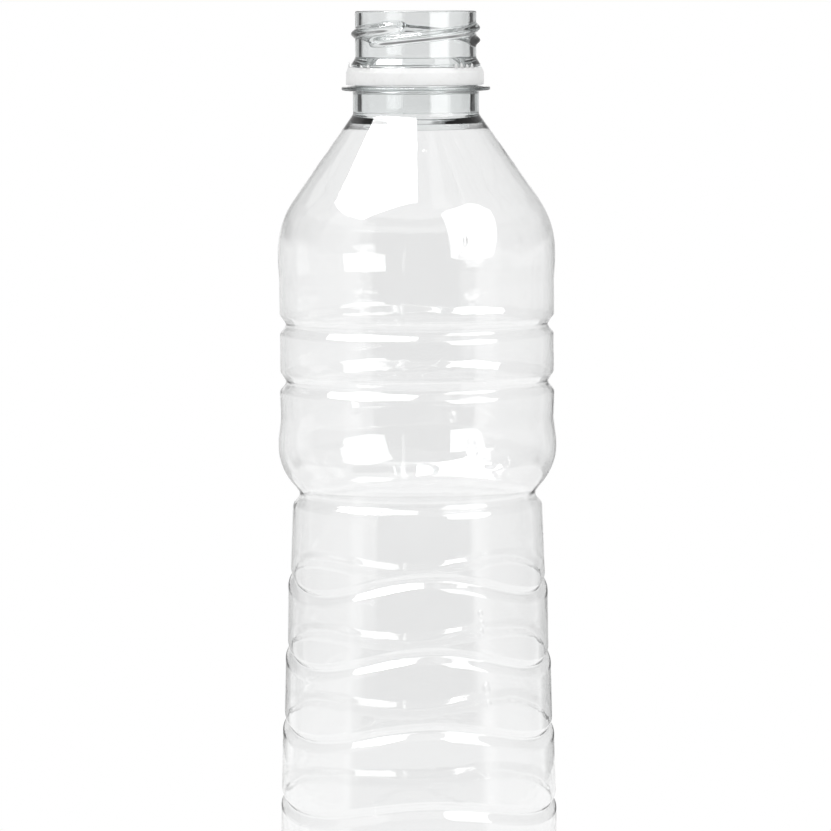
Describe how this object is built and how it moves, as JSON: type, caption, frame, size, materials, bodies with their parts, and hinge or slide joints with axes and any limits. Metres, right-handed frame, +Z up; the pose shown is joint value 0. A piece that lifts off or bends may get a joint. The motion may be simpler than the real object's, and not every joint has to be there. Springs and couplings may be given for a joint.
{
  "type": "plastic bottle",
  "caption": "Empty clear plastic drink bottle without its cap: ribbed body with a pinched waist and wavy grooves, threaded neck and a loose tamper band.",
  "frame": {"origin": "middle of the foot ring's underside, on the surface the bottle stands on", "axes": "+Z up along the bottle's axis to the mouth, -Y towards the front, where the first wave has its crest"},
  "size_m": [0.0618, 0.0618, 0.221],
  "materials": {
    "clear_plastic": "clear and glossy, thin blown wall",
    "white_plastic": "smooth translucent white, satin"
  },
  "bodies": {
    "bottle": {"bottle": "clear_plastic"},
    "ring": {"tamper_ring": "white_plastic"}
  },
  "joints": [
    {"name": "ring_spin", "type": "hinge", "parent": "bottle", "child": "ring", "pos_m": [0, 0, 0.2067], "axis": [0, 0, 1], "continuous": true}
  ]
}
